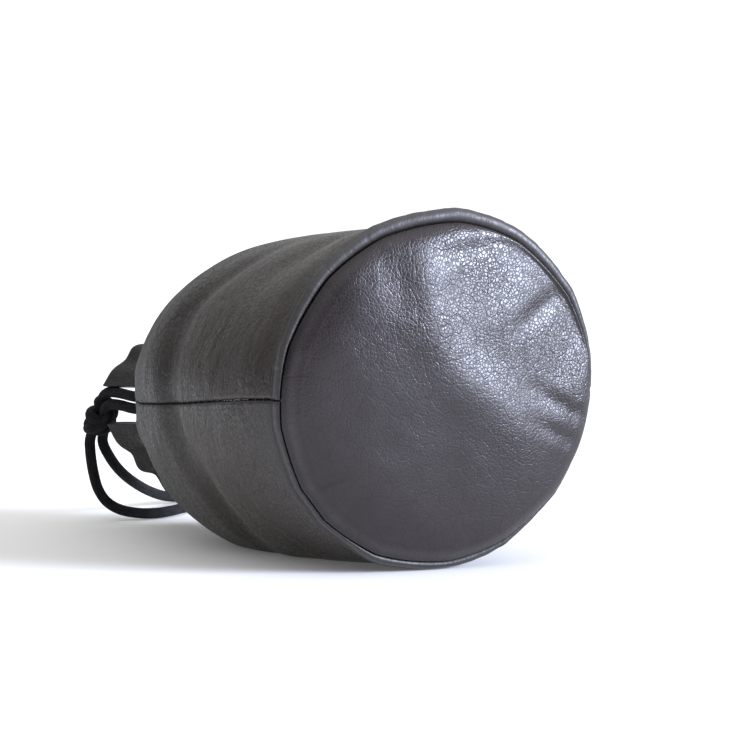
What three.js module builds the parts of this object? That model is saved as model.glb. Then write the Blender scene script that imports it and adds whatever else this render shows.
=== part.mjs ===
// A leather drawstring pouch with a round base, lying on its side as it was put down. The base faces
// -Y, the gathered mouth faces +Y and the floor is at z = 0. The wall is two panels, joined by a seam
// at -X and one at +X. The neck is drawn in by a cord in a tunnel, and the cord's ends come out of the
// slit at -X, are tied in one knot, and go on as a loop that lies on the floor. Lengths are in
// millimetres, and the body is worked out from the middle of the base seam before it is centred.
import * as THREE from "three";

const baseRadius = 63;
const bodyLength = 185;
const wall = 1.6;
const baseLeather = 2;
const baseDome = 10.5;
const basePuff = 4.6;
const puffWidth = 4.4;
const beadWidth = 3.6;
const beadDepth = 4.8;
const beadPressed = 0.3;
const seamDepth = 5;
const valleyBehindBead = 7.5;
const seamGap = 0.3;
const baseLean = 3.2;
const gatheredRadius = 65.5;
const pleatCount = 12;
const pleatFullness = 0.55;
const innerPleat = 3;
const cordDiameter = 4.5;
const cordPlay = 0.6;
const hemBelowTunnel = 3.7;
const knotLength = 16.6;
const knotWidth = 12.5;
const knotEnd = 9.6;
const exitSlit = 8;
const exitNotch = 8.4;
const farSlit = 2.6;
const farNotch = 3.2;

const stepsPerPleat = 6;
const cordSides = 10;
const cordStep = 5.5;
const leastFacing = 0.4;
const leastPlace = 1e-6;

// The body from the base seam to the mouth: along is a share of the length, and the rest are shares of
// the base radius. lean and lift move the section's middle, where the side seams are, to -X and up.
// width is its half width, rise and drop its heights above and below the middle, and beak draws the
// slit side out to where the cord pulls.
const sections = [
  { along: 0.0, lean: 0.0, lift: 0.0, width: 1.0, rise: 0.985, drop: 0.985, beak: 0 },
  { along: 0.06, lean: 0.005, lift: 0.0, width: 1.035, rise: 1.02, drop: 1.03, beak: 0 },
  { along: 0.18, lean: 0.03, lift: 0.0, width: 1.085, rise: 0.995, drop: 1.085, beak: 0 },
  { along: 0.33, lean: 0.08, lift: 0.0, width: 1.11, rise: 0.955, drop: 1.125, beak: 0 },
  { along: 0.48, lean: 0.14, lift: -0.02, width: 1.085, rise: 0.915, drop: 1.115, beak: 0 },
  { along: 0.6, lean: 0.17, lift: -0.05, width: 1.02, rise: 0.875, drop: 1.05, beak: 0 },
  { along: 0.7, lean: 0.2, lift: -0.09, width: 0.9, rise: 0.79, drop: 0.925, beak: 0 },
  { along: 0.79, lean: 0.25, lift: -0.14, width: 0.68, rise: 0.61, drop: 0.69, beak: 0.03 },
  { along: 0.865, lean: 0.31, lift: -0.195, width: 0.44, rise: 0.4, drop: 0.475, beak: 0.11 },
  { along: 0.91, lean: 0.34, lift: -0.205, width: 0.425, rise: 0.385, drop: 0.48, beak: 0.11 },
  { along: 1.0, lean: 0.4, lift: -0.215, width: 0.555, rise: 0.47, drop: 0.64, beak: 0.05 },
];
const cinch = 0.865;
const pleatsBegin = 0.4;
const pleatsFull = 0.68;
const seamEnd = 0.79;
const slitOpen = 0.835;
const beakReach = 32;

// How each pleat strays from an even round: waves to a turn, and how far it shifts a pleat, in radians.
const pleatDrift = [
  { waves: 2, shift: 0.5 },
  { waves: 3, shift: -0.35 },
  { waves: 5, shift: 0.25 },
];

// Dents, folds and the pulled-up rim: along is a share of the length and angle is in degrees from +X
// over the top. long and wide are shares of the base radius, turn is the angle of the long way from
// the pouch's axis in degrees, and deep is a share of the base radius, below zero for a ridge.
const dents = [
  { along: 0.0, angle: 68, long: 0.55, wide: 0.3, turn: 90, deep: -0.028 },
  { along: 0.0, angle: 20, long: 0.45, wide: 0.25, turn: 90, deep: -0.018 },
  { along: 0.4, angle: 190, long: 0.34, wide: 0.1, turn: 104, deep: 0.045 },
  { along: 0.35, angle: 218, long: 0.4, wide: 0.11, turn: 84, deep: 0.05 },
  { along: 0.42, angle: 158, long: 0.36, wide: 0.11, turn: 96, deep: 0.04 },
  { along: 0.38, angle: 132, long: 0.32, wide: 0.1, turn: 60, deep: 0.035 },
  { along: 0.195, angle: 119, long: 0.3, wide: 0.09, turn: 86, deep: 0.03 },
  { along: 0.5, angle: 20, long: 0.4, wide: 0.12, turn: 80, deep: 0.04 },
  { along: 0.36, angle: 55, long: 0.36, wide: 0.12, turn: 110, deep: 0.03 },
];

// The free cord, chosen by hand from the slit to the knot, round the loop, and back to the slit.
const frontLead = [
  [-43.4, 160, 58.1], [-46, 160.4, 56.3], [-49.1, 162.5, 55.2], [-51.9, 166.5, 55], [-54.2, 171.8, 55.4],
  [-56.2, 178, 56.1], [-57.9, 184.2, 56.3], [-58.6, 187.2, 55.9], [-59.1, 190, 54.6], [-59.3, 192.2, 52.8],
];
const backLead = [
  [-43.4, 160, 47], [-46, 160.4, 48.7], [-49.1, 162.5, 49.9], [-51.9, 166.5, 50.1], [-54.2, 171.8, 50.4],
  [-56.2, 178, 51.1], [-57.9, 183.3, 51.3], [-58.5, 185.2, 51], [-59, 187, 50.2], [-59.3, 188.4, 49.1],
];
const loop = [
  [-60.2, 202.4, 37.8], [-60.3, 203.6, 36.2], [-60.4, 204.5, 34], [-60.2, 204.9, 31.5],
  [-59.6, 205.1, 26], [-58.5, 205.1, 20], [-56.5, 205.4, 13.6], [-53, 205, 8.2], [-47.7, 203.2, 4.6],
  [-39.8, 200.8, 2.8], [-31.6, 201.4, 2.4], [-24.2, 205.4, 2.4], [-16, 212.4, 2.4], [-7, 220.8, 2.4],
  [2.4, 230.4, 2.4], [11, 239.8, 2.4], [13.9, 245.4, 2.4], [12.8, 251, 2.4], [8.6, 255, 2.4],
  [2.8, 255.8, 2.4], [-2.8, 252.8, 2.8], [-9.8, 246.3, 4.2], [-17.6, 238.6, 6.6], [-29, 226.8, 11.3],
  [-40.7, 215.4, 17.9], [-47.6, 209, 23.4], [-51.8, 206, 28.4], [-54, 204.9, 32], [-54.7, 204.4, 34.1],
  [-54.9, 203.6, 36.2], [-55, 202.4, 37.8],
];
const knotTop = [-59.3, 190.6, 50.6];
const knotBottom = [-57.6, 202.2, 38.2];

const leatherColour = 0x4d4a4d;
const cordColour = 0x161618;

const centreHeight = baseRadius * sections[0].drop + beadWidth - beadPressed;
const holeRadius = cordDiameter / 2 + cordPlay;
const roundSteps = pleatCount * stepsPerPleat;
const degree = Math.PI / 180;

// A smooth curve through one column of the section table, with each slope taken from its neighbours.
function columnAt(column, along) {
  const last = sections.length - 1;
  let row = 0;
  while (row < last - 1 && along > sections[row + 1].along) row += 1;
  const slope = (i) => {
    const before = sections[Math.max(i - 1, 0)];
    const after = sections[Math.min(i + 1, last)];
    return (after[column] - before[column]) / (after.along - before.along);
  };
  const [from, to] = [sections[row], sections[row + 1]];
  const step = to.along - from.along;
  const u = (along - from.along) / step;
  return (
    from[column] * (2 * u ** 3 - 3 * u ** 2 + 1) +
    step * slope(row) * (u ** 3 - 2 * u ** 2 + u) +
    to[column] * (3 * u ** 2 - 2 * u ** 3) +
    step * slope(row + 1) * (u ** 3 - u ** 2)
  );
}

function sectionAt(along) {
  const columns = ["lean", "lift", "width", "rise", "drop", "beak"];
  const section = Object.fromEntries(columns.map((name) => [name, baseRadius * columnAt(name, along)]));
  section.middle = new THREE.Vector3(-section.lean, bodyLength * along, centreHeight + section.lift);
  return section;
}

// Gathered leather keeps its length round the body, so a fold's depth follows from how much narrower
// the section is than the leather. The pleats run out in the barrel, where the leather is smooth.
function pleatDepth(along, meanRadius) {
  const spare = Math.max((gatheredRadius / meanRadius) ** 2 - 1, 0);
  const growing = THREE.MathUtils.smoothstep(along, pleatsBegin, pleatsFull);
  return ((growing * pleatFullness * meanRadius) / pleatCount) * Math.sqrt(2 * spare);
}

// 1 on a pleat's crest and -1 in a valley, with a valley at each side seam.
function pleatWave(angle) {
  const drift = pleatDrift.reduce((sum, row) => sum + row.shift * Math.sin(row.waves * angle), 0);
  return -Math.cos(pleatCount * angle + drift);
}

function dentDepth(along, angle) {
  let depth = 0;
  for (const dent of dents) {
    const lengthways = (along - dent.along) * bodyLength;
    const turns = angle / (2 * Math.PI) - dent.angle / 360;
    const round = (turns - Math.round(turns)) * 2 * Math.PI * baseRadius;
    const [cos, sin] = [Math.cos(dent.turn * degree), Math.sin(dent.turn * degree)];
    const a = (lengthways * cos + round * sin) / (dent.long * baseRadius);
    const b = (round * cos - lengthways * sin) / (dent.wide * baseRadius);
    depth += dent.deep * baseRadius * Math.exp(-a * a - b * b);
  }
  return depth;
}

// The side slit opens from the end of the side seam to the mouth. Its half width at the tunnel and at
// the mouth becomes an angle by the section's size.
function slitAngle(along, atTunnel, atMouth) {
  const opening = THREE.MathUtils.smoothstep(along, seamEnd, slitOpen) * atTunnel;
  const flare = THREE.MathUtils.smoothstep(along, cinch, 1) * (atMouth - atTunnel);
  return (opening + flare) / (baseRadius * columnAt("width", along));
}

// Where a place on the leather lies round the section. Both go from 0 at the +X seam to half a turn at
// the -X seam, below zero for the lower panel, and the slits push the leather together.
function angleOf(along, place) {
  const near = slitAngle(along, farSlit, farNotch);
  const far = Math.PI - slitAngle(along, exitSlit, exitNotch);
  return Math.sign(place) * (near + ((far - near) * Math.abs(place)) / Math.PI);
}

// A point of the leather's outer face, before the floor flattens it. The base end leans outwards at
// the top, which fades out by the middle of the body.
function skin(along, place, pleats = pleatWave(place)) {
  const section = sectionAt(along);
  const angle = angleOf(along, place);
  const side = (180 - Math.abs(angle / degree)) / beakReach;
  const across = section.width + section.beak * Math.exp(-side * side);
  const up = angle >= 0 ? section.rise : section.drop;
  const mean = (section.width + (section.rise + section.drop) / 2) / 2;
  const radial = new THREE.Vector3(across * Math.cos(angle), 0, up * Math.sin(angle));
  const outwards = radial.clone().normalize();
  const stand = pleatDepth(along, mean) * pleats - dentDepth(along, place);
  const point = section.middle.clone().add(radial).addScaledVector(outwards, stand);
  const leaning = Math.tan(baseLean * degree) * Math.max(1 - 2 * along, 0);
  point.y -= leaning * (point.z - centreHeight);
  return { point, outwards };
}

// Thickness of one layer of leather measured straight towards the middle of the section, which is more
// than the wall where the face slopes.
function layerReach(along, place) {
  const nudge = 0.004;
  const [back, on] = [Math.max(along - nudge, 0), Math.min(along + nudge, 1)];
  const half = Math.sign(place) * Math.PI / 2;
  const inward = Math.abs(place) > Math.abs(half) ? -Math.sign(place) * nudge : Math.sign(place) * nudge;
  const lengthways = skin(on, place).point.sub(skin(back, place).point);
  const round = skin(along, place + inward).point.sub(skin(along, place).point);
  const normal = lengthways.cross(round).normalize();
  const facing = Math.abs(normal.dot(skin(along, place).outwards));
  return wall / Math.max(facing, leastFacing);
}

const onFloor = (point, height = 0) => point.setZ(Math.max(point.z, height));

function outerFace(along, place) {
  return onFloor(skin(along, place).point);
}

function innerFace(along, place, layers) {
  const { point, outwards } = skin(along, place);
  point.addScaledVector(outwards, -layers * layerReach(along, place));
  return onFloor(point, layers * wall);
}

// A point near the base seam, given how far it stands out from the seam and behind it.
function besideSeam(place, out, behind) {
  const { point, outwards } = skin(0, place);
  point.addScaledVector(outwards, out);
  point.y += behind;
  return onFloor(point);
}

// The middle of the cord's tunnel, one layer and the cord's play inside the valleys of the pleats.
function tunnelMiddle(place) {
  const { point, outwards } = skin(cinch, place, -1);
  return point.addScaledVector(outwards, -wall - holeRadius);
}

// A panel's profile at one place: the outer face from the base seam to the mouth, over the turned edge
// that makes the bead, and the inner face back. The leather is double from the hem's edge to the
// mouth, and the cord's tunnel is a hole between its layers.
function panelProfile(place) {
  const tunnelHalf = (holeRadius + wall) / bodyLength;
  const hemEdge = cinch - tunnelHalf - hemBelowTunnel / bodyLength;
  const contour = [besideSeam(place, 0, seamDepth), besideSeam(place, 0, beadDepth / 2)];
  for (const turn of [205, 270, 335, 10, 45]) {
    const out = (beadWidth / 2) * (1 + Math.cos(turn * degree));
    contour.push(besideSeam(place, out, (beadDepth / 2) * (1 + Math.sin(turn * degree))));
  }
  const shares = [
    valleyBehindBead / bodyLength, 0.09, 0.17, 0.26, 0.34, 0.42, 0.5, 0.58, 0.65, 0.71, 0.76, 0.8,
    cinch - tunnelHalf, cinch, cinch + tunnelHalf, 0.95, 1,
  ];
  for (const along of shares) contour.push(outerFace(along, place));

  const { outwards } = skin(cinch, place);
  const tunnel = tunnelMiddle(place);
  const around = (out, lengthways) => {
    const point = tunnel.clone().addScaledVector(outwards, out);
    return point.setY(point.y + lengthways);
  };
  const fold = holeRadius + wall + (innerPleat * (1 + pleatWave(place))) / 2;
  for (const along of [1, 0.95, cinch + tunnelHalf]) contour.push(innerFace(along, place, 2));
  contour.push(around(0, holeRadius + wall), around(-fold, holeRadius / 2));
  contour.push(around(-fold, -holeRadius / 2), around(0, -holeRadius - wall));
  contour.push(innerFace(hemEdge, place, 2));
  contour.push(innerFace(hemEdge - wall / 4 / bodyLength, place, 1));
  for (const along of [0.76, 0.7, 0.62, 0.52, 0.42, 0.32, 0.2, 0.09]) contour.push(innerFace(along, place, 1));

  const roof = Math.max(innerFace(cinch, place, 1).sub(tunnel).dot(outwards), holeRadius);
  const hole = [
    around(-holeRadius, holeRadius / 2), around(0, holeRadius), around(roof, holeRadius / 2),
    around(roof, -holeRadius / 2), around(0, -holeRadius), around(-holeRadius, -holeRadius / 2),
  ];
  return { contour, hole };
}

// Closes a run of equal profiles into one solid, with a lid over each end.
function solidFromProfiles(profiles) {
  const points = profiles.flatMap(({ contour, hole }) => [...contour, ...hole]);
  const perProfile = profiles[0].contour.length + profiles[0].hole.length;
  const contourSize = profiles[0].contour.length;
  const triangles = [];
  const band = (first, size, next) => {
    for (let j = 0; j < profiles.length - 1; j += 1) {
      for (let i = 0; i < size; i += 1) {
        const a = j * perProfile + first + i;
        const b = j * perProfile + first + next(i);
        triangles.push([a, b, b + perProfile], [a, b + perProfile, a + perProfile]);
      }
    }
  };
  band(0, contourSize, (i) => (i + 1) % contourSize);
  band(contourSize, perProfile - contourSize, (i) => (i + 1) % (perProfile - contourSize));

  const lid = (profile, offset, facing) => {
    const middle = new THREE.Box3().setFromPoints(profile.contour).getCenter(new THREE.Vector3());
    const side = Math.sign(middle.x) || 1;
    const flat = (point) => new THREE.Vector2(point.y, side * point.x);
    const outline = profile.contour.map(flat);
    const opening = profile.hole.map(flat);
    const turn = Math.sign(THREE.ShapeUtils.area(outline));
    const all = [...outline, ...opening];
    for (const face of THREE.ShapeUtils.triangulateShape(outline, [opening])) {
      const area = THREE.ShapeUtils.area(face.map((i) => all[i]));
      const ordered = Math.sign(area) === facing * turn ? face : [...face].reverse();
      triangles.push(ordered.map((i) => i + offset));
    }
  };
  lid(profiles[0], 0, -1);
  lid(profiles[profiles.length - 1], (profiles.length - 1) * perProfile, 1);
  return closedGeometry(points, triangles);
}

// Makes the geometry, and turns all its faces if they point inwards.
function closedGeometry(points, triangles) {
  const volume = triangles.reduce((sum, [a, b, c]) => {
    return sum + points[a].dot(points[b].clone().cross(points[c]));
  }, 0);
  const outward = volume > 0 ? triangles : triangles.map(([a, b, c]) => [a, c, b]);
  const geometry = new THREE.BufferGeometry();
  geometry.setAttribute("position", new THREE.Float32BufferAttribute(points.flatMap((p) => p.toArray()), 3));
  geometry.setIndex(outward.flat());
  geometry.computeVertexNormals();
  return geometry;
}

// Half of the wall, from the +X seam to the -X seam. The two halves stand apart by the seam's gap.
function panel(top) {
  const steps = roundSteps / 2;
  const side = top ? 1 : -1;
  const profiles = Array.from({ length: steps + 1 }, (_, j) => {
    return panelProfile(side * Math.max((Math.PI * j) / steps, leastPlace));
  });
  for (const { contour, hole } of profiles) {
    for (const point of [...contour, ...hole]) {
      const fromSeam = THREE.MathUtils.smoothstep(point.z, wall, centreHeight / 2);
      point.z += (side * seamGap * fromSeam) / 2;
    }
  }
  return solidFromProfiles(profiles);
}

// The base is a disc of leather. Its edge lies in the seam and puffs out over it, and its middle is a
// shallow dome. rows hold the share of the way out from the middle and the distance behind the seam.
function basePanel() {
  const seamShare = 1 - seamGap / baseRadius;
  const puffShare = 1 - puffWidth / baseRadius;
  const domeAt = (share) => -basePuff - (baseDome - basePuff) * (1 - (share / puffShare) ** 2);
  const puff = (turn, inset) => {
    const [cos, sin] = [Math.cos(turn * degree), Math.sin(turn * degree)];
    return [
      seamShare - (inset + (puffWidth - inset) * (1 - cos)) / baseRadius,
      1 - (basePuff + 1 - inset) * sin,
    ];
  };
  const outer = [[0.28, domeAt(0.28)], [0.55, domeAt(0.55)], [0.78, domeAt(0.78)]];
  const rows = [
    ...outer,
    puff(90, 0), puff(60, 0), puff(30, 0),
    [seamShare, 1],
    [seamShare, seamDepth],
    [seamShare - baseLeather / baseRadius, seamDepth],
    puff(0, baseLeather), puff(60, baseLeather),
    ...outer.map(([share, behind]) => [share, behind + baseLeather]).reverse(),
  ];
  const middle = new THREE.Vector3(0, 0, centreHeight);
  const points = [new THREE.Vector3(0, -baseDome, centreHeight)];
  for (const [share, behind] of rows) {
    for (let j = 0; j < roundSteps; j += 1) {
      const seam = skin(0, Math.PI * ((2 * j) / roundSteps - 1) + leastPlace).point;
      const point = seam.sub(middle).multiplyScalar(share).add(middle);
      point.y += behind;
      points.push(onFloor(point));
    }
  }
  points.push(new THREE.Vector3(0, baseLeather - baseDome, centreHeight));
  const at = (row, j) => 1 + row * roundSteps + (j % roundSteps);
  const triangles = [];
  for (let j = 0; j < roundSteps; j += 1) {
    triangles.push([0, at(0, j), at(0, j + 1)]);
    for (let row = 0; row < rows.length - 1; row += 1) {
      triangles.push([at(row, j), at(row + 1, j), at(row + 1, j + 1)]);
      triangles.push([at(row, j), at(row + 1, j + 1), at(row, j + 1)]);
    }
    triangles.push([points.length - 1, at(rows.length - 1, j + 1), at(rows.length - 1, j)]);
  }
  return closedGeometry(points, triangles);
}

function cordAlong(points) {
  const curve = new THREE.CatmullRomCurve3(points, false, "centripetal");
  const section = new THREE.Shape();
  section.absarc(0, 0, cordDiameter / 2, 0, 2 * Math.PI);
  return new THREE.ExtrudeGeometry(new THREE.Shape(section.getPoints(cordSides).slice(0, cordSides)), {
    extrudePath: curve,
    steps: Math.max(2, Math.round(curve.getLength() / cordStep)),
    bevelEnabled: false,
  });
}

// The held stretch starts in the front tunnel's slit end, goes round the far side of the neck, and
// ends in the back tunnel's slit end.
function heldCord() {
  const turns = roundSteps / 2 - 1;
  const points = Array.from({ length: turns + 1 }, (_, i) => {
    const place = Math.PI * (1 - (2 * i) / turns);
    const point = tunnelMiddle(place);
    return point.setZ(point.z + (Math.sign(place) * seamGap) / 2);
  });
  return cordAlong(points);
}

const freeCord = (points) => cordAlong(points.map((point) => new THREE.Vector3(...point)));

// The knot's outer shape: a short barrel round both strands, from where they go in to where they leave.
function knot() {
  const outline = [
    [0, -knotLength / 2], [knotEnd / 2, -knotLength / 2], [knotWidth / 2, -knotLength / 4],
    [knotWidth / 2, knotLength / 4], [knotEnd / 2, knotLength / 2], [0, knotLength / 2],
  ].map(([out, along]) => new THREE.Vector2(out, along));
  return new THREE.LatheGeometry(outline, cordSides);
}

const leather = () => new THREE.MeshStandardMaterial({ color: leatherColour, roughness: 0.45, metalness: 0 });
const cordFinish = () => new THREE.MeshStandardMaterial({ color: cordColour, roughness: 0.8, metalness: 0 });

function named(name, geometry, material) {
  const mesh = new THREE.Mesh(geometry, material);
  mesh.name = name;
  return mesh;
}

const pouch = new THREE.Group();
pouch.add(named("base_panel", basePanel(), leather()));
pouch.add(named("front_panel", panel(true), leather()));
pouch.add(named("back_panel", panel(false), leather()));
pouch.add(named("drawstring_ring", heldCord(), cordFinish()));
const bounds = new THREE.Box3().setFromObject(pouch);

pouch.add(named("drawstring_lead_front", freeCord(frontLead), cordFinish()));
pouch.add(named("drawstring_lead_back", freeCord(backLead), cordFinish()));
pouch.add(named("drawstring_loop", freeCord(loop), cordFinish()));
const knotMesh = named("drawstring_knot", knot(), cordFinish());
const top = new THREE.Vector3(...knotTop);
const bottom = new THREE.Vector3(...knotBottom);
knotMesh.position.copy(top).add(bottom).multiplyScalar(0.5);
knotMesh.quaternion.setFromUnitVectors(new THREE.Vector3(0, 1, 0), top.sub(bottom).normalize());
pouch.add(knotMesh);

const middle = bounds.getCenter(new THREE.Vector3());
pouch.position.set(-middle.x, -middle.y, 0);

export default pouch;
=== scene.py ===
"""A leather drawstring pouch with a round base, lying on its side.

The wall is two panels with a seam at each side, turned out into a bead round the base. The neck is
drawn in by a cord that runs in the hem and ends in one knot and a loop on the floor. Lengths are in
metres. The leather is worked out from the middle of the base seam, with the base facing -Y and the
floor at z = 0, and is then moved to where the frame has it.
"""

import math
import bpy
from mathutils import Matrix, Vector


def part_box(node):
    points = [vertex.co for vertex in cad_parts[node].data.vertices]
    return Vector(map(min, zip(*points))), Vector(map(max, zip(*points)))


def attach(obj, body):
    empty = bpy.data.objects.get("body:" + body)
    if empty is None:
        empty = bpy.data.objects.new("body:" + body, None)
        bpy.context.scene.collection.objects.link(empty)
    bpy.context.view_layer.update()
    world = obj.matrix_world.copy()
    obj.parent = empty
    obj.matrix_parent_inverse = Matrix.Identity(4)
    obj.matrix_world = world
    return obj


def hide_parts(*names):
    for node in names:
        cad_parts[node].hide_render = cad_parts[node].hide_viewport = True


bl_info = {
    "name": "Leather drawstring pouch",
    "version": (1, 0, 0),
    "blender": (4, 5, 0),
    "location": "View3D > Sidebar > Pouch",
    "description": "Makes a leather pouch that lies on its side, with its cord, stitches and stage",
    "category": "Add Mesh",
}

import bpy
import numpy as np
from bpy.props import FloatProperty, FloatVectorProperty, PointerProperty
from mathutils import Vector

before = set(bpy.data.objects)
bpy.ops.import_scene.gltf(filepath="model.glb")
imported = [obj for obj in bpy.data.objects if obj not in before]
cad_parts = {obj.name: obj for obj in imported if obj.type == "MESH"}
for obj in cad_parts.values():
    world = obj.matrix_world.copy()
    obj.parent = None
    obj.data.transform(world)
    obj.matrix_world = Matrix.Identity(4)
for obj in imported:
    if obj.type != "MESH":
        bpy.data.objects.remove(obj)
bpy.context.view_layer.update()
MM = 0.001

# The body's main sizes.
BASE_RADIUS = 63 * MM
BODY_LENGTH = 185 * MM
WALL = 1.6 * MM
BASE_LEATHER = 2 * MM
BASE_DOME = 10.5 * MM
BASE_PUFF = 4.6 * MM
BEAD_WIDTH = 3.6 * MM
BEAD_DEPTH = 4.8 * MM
BEAD_PRESSED = 0.3 * MM
SEAM_DEPTH = 5 * MM
SEAM_GAP = 0.3 * MM
BASE_LEAN = math.radians(3.2)
GATHERED_RADIUS = 65.5 * MM
PLEAT_COUNT = 12
PLEAT_FULLNESS = 0.55
INNER_PLEAT = 3 * MM
CORD_DIAMETER = 4.5 * MM
CORD_PLAY = 0.6 * MM
HEM_BELOW_TUNNEL = 3.7 * MM
EXIT_SLIT = 8 * MM
EXIT_NOTCH = 8.4 * MM
FAR_SLIT = 2.6 * MM
FAR_NOTCH = 3.2 * MM

# The body from the base seam to the mouth: along is a share of the length, and the rest are shares of
# the base radius. lean and lift move the section's middle to -X and up. width is its half width, rise
# and drop its heights above and below the middle, and beak draws the slit side out to the cord.
SECTION_COLUMNS = ("along", "lean", "lift", "width", "rise", "drop", "beak")
SECTIONS = np.array([
    (0.0, 0.0, 0.0, 1.0, 0.985, 0.985, 0.0),
    (0.06, 0.005, 0.0, 1.035, 1.02, 1.03, 0.0),
    (0.18, 0.03, 0.0, 1.085, 0.995, 1.085, 0.0),
    (0.33, 0.08, 0.0, 1.11, 0.955, 1.125, 0.0),
    (0.48, 0.14, -0.02, 1.085, 0.915, 1.115, 0.0),
    (0.6, 0.17, -0.05, 1.02, 0.875, 1.05, 0.0),
    (0.7, 0.2, -0.09, 0.9, 0.79, 0.925, 0.0),
    (0.79, 0.25, -0.14, 0.68, 0.61, 0.69, 0.03),
    (0.865, 0.31, -0.195, 0.44, 0.4, 0.475, 0.11),
    (0.91, 0.34, -0.205, 0.425, 0.385, 0.48, 0.11),
    (1.0, 0.4, -0.215, 0.555, 0.47, 0.64, 0.05),
])

# Where along the body the cord draws it in, where the pleats begin and are full, where the side seams
# end, and where the slits beyond them are open.
CINCH = 0.865
PLEATS_BEGIN = 0.5
PLEATS_FULL = 0.78
SEAM_END = 0.79
SLIT_OPEN = 0.835

# How many degrees from the slit the beak reaches, how many its sides are drawn flat for, and how much
# of the pleats is gone there. They keep their height at the tunnel.
BEAK_REACH = 32
FLAT_REACH = 80
FLATTENED = 0.97

# How far the ruffle is tucked in below the slit, and the middle and the width in degrees of where.
FRILL_TUCK = 5 * MM
TUCK_AT = (-138, 30)

# How each pleat strays from an even round: waves to a turn, and its shift in radians.
PLEAT_DRIFT = ((2, 0.5), (3, -0.35), (5, 0.25))

# Dents, folds and the pulled-up rim, each as along, angle, long, wide, turn and deep. along is a share
# of the length and angle is in degrees from +X over the top. long and wide are shares of the base
# radius, turn is the angle of the long way from the pouch's axis in degrees, and deep is a share of
# the base radius, below zero for a ridge.
DENTS = (
    (0.0, 68, 0.55, 0.3, 90, -0.028),
    (0.0, 20, 0.45, 0.25, 90, -0.018),
    (0.4, 190, 0.34, 0.1, 104, 0.045),
    (0.35, 218, 0.4, 0.11, 84, 0.05),
    (0.42, 158, 0.36, 0.11, 96, 0.04),
    (0.38, 132, 0.32, 0.1, 60, 0.035),
    (0.195, 119, 0.3, 0.09, 86, 0.03),
    (0.5, 20, 0.4, 0.12, 80, 0.04),
    (0.36, 55, 0.36, 0.12, 110, 0.03),
)

# Soft folds on the base, each as x, z, long, wide, turn and deep, in shares of the base radius: x and z
# of its middle, its half length and half width, its turn from +X in degrees, and how deep it is, below
# zero for a ridge.
BASE_FOLDS = (
    (0.1, 0.11, 0.8, 0.16, -41, -0.013),
    (-0.78, -0.49, 0.2, 0.035, 22, 0.012),
    (-0.62, -0.68, 0.2, 0.05, 42, 0.008),
    (0.83, -0.1, 0.24, 0.05, -28, 0.014),
    (0.78, -0.26, 0.2, 0.05, -24, 0.01),
    (0.66, 0.5, 0.22, 0.06, 32, 0.012),
    (-0.33, 0.58, 0.28, 0.12, 98, 0.007),
    (-0.11, 0.62, 0.34, 0.13, 96, -0.014),
    (0.1, 0.84, 0.3, 0.06, 8, 0.01),
)

# The free cord, chosen in millimetres from the slit to the knot, round the loop and back.
FRONT_LEAD = [
    [-46, 160.4, 56.3], [-49.1, 162.5, 55.2], [-51.9, 166.5, 55], [-54.2, 171.8, 55.4],
    [-56.2, 178, 56.1], [-57.9, 184.2, 56.3], [-58.6, 187.2, 55.9], [-59.1, 190, 54.6],
    [-59.3, 192.2, 52.8],
]
BACK_LEAD = [
    [-46, 160.4, 48.7], [-49.1, 162.5, 49.9], [-51.9, 166.5, 50.1], [-54.2, 171.8, 50.4],
    [-56.2, 178, 51.1], [-57.9, 183.3, 51.3], [-58.5, 185.2, 51], [-59, 187, 50.2],
    [-59.3, 188.4, 49.1],
]
LOOP = [
    [-60.2, 202.4, 37.8], [-60.3, 203.6, 36.2], [-60.4, 204.5, 34], [-60.2, 204.9, 31.5],
    [-59.6, 205.1, 26], [-58.5, 205.1, 20], [-56.5, 205.4, 13.6], [-53, 205, 8.2], [-47.7, 203.2, 4.6],
    [-39.8, 200.8, 2.8], [-31.6, 201.4, 2.4], [-24.2, 205.4, 2.4], [-16, 212.4, 2.4], [-7, 220.8, 2.4],
    [2.4, 230.4, 2.4], [11, 239.8, 2.4], [13.9, 245.4, 2.4], [12.8, 251, 2.4], [8.6, 255, 2.4],
    [2.8, 255.8, 2.4], [-2.8, 252.8, 2.8], [-9.8, 246.3, 4.2], [-17.6, 238.6, 6.6], [-29, 226.8, 11.3],
    [-40.7, 215.4, 17.9], [-47.6, 209, 23.4], [-51.8, 206, 28.4], [-54, 204.9, 32],
    [-54.7, 204.4, 34.1], [-54.9, 203.6, 36.2], [-55, 202.4, 37.8],
]
KNOT_TOP = np.array([-59.3, 190.6, 50.6]) * MM
KNOT_BOTTOM = np.array([-57.6, 202.2, 38.2]) * MM

# Where the base seam is drawn straight: from and to in degrees from +X over the top, and how nearly
# straight, from 0 to 1.
RIM_CHORDS = (
    (-149, -135, 1.0), (-135, -112, 0.45), (-112, -84, 0.3), (-171, -149, 0.5), (-84, -62, 0.2),
    (-62, -38, 0.5), (-38, -20, 0.3), (12, 34, 0.35), (34, 60, 0.3), (60, 84, 0.2), (84, 112, 0.3),
    (112, 136, 0.2), (136, 162, 0.35), (162, 189, 0.15),
)

# How far the leather's edges roll in at the side seams and at the slits.
SEAM_ROLL = 1.5 * MM
SLIT_ROLL = 0.6 * MM

# The narrow groove behind the bead and the wide valley behind that, measured from the base seam.
GROOVE_AT = 6.1 * MM
GROOVE_END = 9 * MM
GROOVE_DEEP = 0.9 * MM
VALLEY_AT = 9.5 * MM
VALLEY_LONG = 6.5 * MM
VALLEY_DEEP = 1.7 * MM

# How far the two panels part at the side seams, and how far the -X seam sags half-way along.
SEAM_PARTED = 0.04 * MM
SEAM_SAG = math.radians(4.6)

# How round the leather's edge is where the floor presses it, and the least that a face may look
# outwards when its layer is measured.
FLOOR_SOFTNESS = 1.1 * MM
LEAST_FACING = 0.4

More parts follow.
